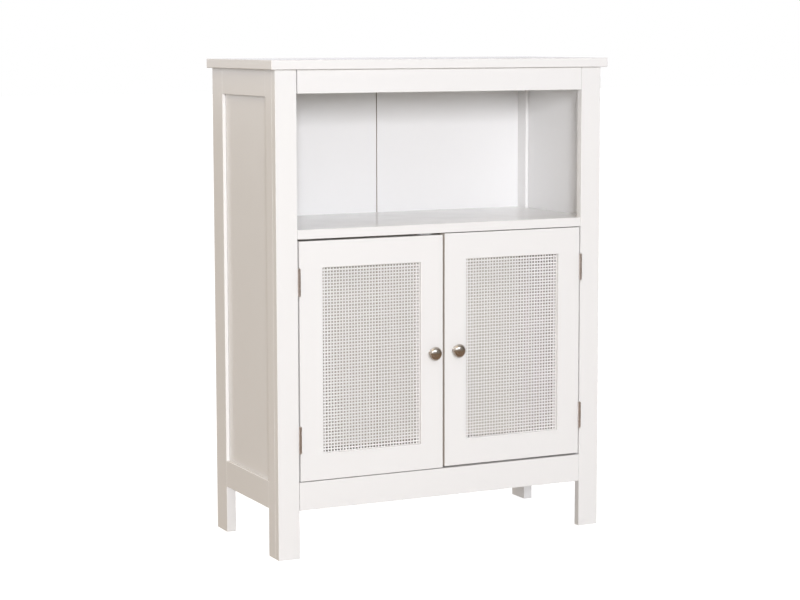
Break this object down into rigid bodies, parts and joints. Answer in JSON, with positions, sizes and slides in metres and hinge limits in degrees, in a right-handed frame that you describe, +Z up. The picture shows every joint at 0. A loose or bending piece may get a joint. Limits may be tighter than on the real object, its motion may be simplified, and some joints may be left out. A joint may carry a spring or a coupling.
{
  "type": "two-door storage cabinet",
  "caption": "White freestanding cabinet on straight legs, with an open compartment above a pair of hinged doors with woven cane panels.",
  "frame": {"origin": "on the floor, under the middle of the bounding box, knobs included", "axes": "+Z up, -Y out of the front, +X to the right for a person facing the front"},
  "size_m": [0.686, 0.3312, 0.897],
  "materials": {
    "painted_board": "satin white paint on fibreboard",
    "painted_panel": "satin white paint on thin board",
    "cane": "woven cane strand, bleached and lacquered",
    "nickel": "satin nickel plate",
    "steel": "zinc plated",
    "white_plastic": "moulded, matt"
  },
  "bodies": {
    "root": {"top_board": "painted_board", "front_top_rail": "painted_board", "front_bottom_rail": "painted_board", "back_top_rail": "painted_board", "back_bottom_rail": "painted_board", "back_joint_strip": "painted_panel", "fixed_shelf": "painted_board", "floor_panel": "painted_board", "front_face_stile_left": "painted_board", "front_side_stile_left": "painted_board", "rear_stile_left": "painted_board", "side_top_rail_left": "painted_board", "side_bottom_rail_left": "painted_board", "side_panel_left": "painted_panel", "back_panel_left": "painted_panel", "magnetic_catch_left": "white_plastic", "left_upper_hinge_frame_leaf": "nickel", "left_upper_hinge_pin": "nickel", "left_lower_hinge_frame_leaf": "nickel", "left_lower_hinge_pin": "nickel", "front_face_stile_right": "painted_board", "front_side_stile_right": "painted_board", "rear_stile_right": "painted_board", "side_top_rail_right": "painted_board", "side_bottom_rail_right": "painted_board", "side_panel_right": "painted_panel", "back_panel_right": "painted_panel", "magnetic_catch_right": "white_plastic", "right_upper_hinge_frame_leaf": "nickel", "right_upper_hinge_pin": "nickel", "right_lower_hinge_frame_leaf": "nickel", "right_lower_hinge_pin": "nickel"},
    "left_door": {"left_door_frame": "painted_board", "left_door_cane": "cane", "left_door_bottom_batten": "painted_board", "left_door_top_batten": "painted_board", "left_door_lock_batten": "painted_board", "left_door_hinge_batten": "painted_board", "left_knob": "nickel", "left_knob_screw": "steel", "left_strike_plate": "steel", "left_upper_hinge_door_leaf": "nickel", "left_lower_hinge_door_leaf": "nickel"},
    "right_door": {"right_door_frame": "painted_board", "right_door_cane": "cane", "right_door_bottom_batten": "painted_board", "right_door_top_batten": "painted_board", "right_door_lock_batten": "painted_board", "right_door_hinge_batten": "painted_board", "right_knob": "nickel", "right_knob_screw": "steel", "right_strike_plate": "steel", "right_upper_hinge_door_leaf": "nickel", "right_lower_hinge_door_leaf": "nickel"}
  },
  "joints": [
    {"name": "left_door_hinge", "type": "hinge", "parent": "root", "child": "left_door", "pos_m": [-0.2905, -0.14535, 0.3599], "axis": [0, 0, -1], "range_deg": [0, 170]},
    {"name": "right_door_hinge", "type": "hinge", "parent": "root", "child": "right_door", "pos_m": [0.2905, -0.14535, 0.3599], "axis": [0, 0, 1], "range_deg": [0, 170]}
  ]
}
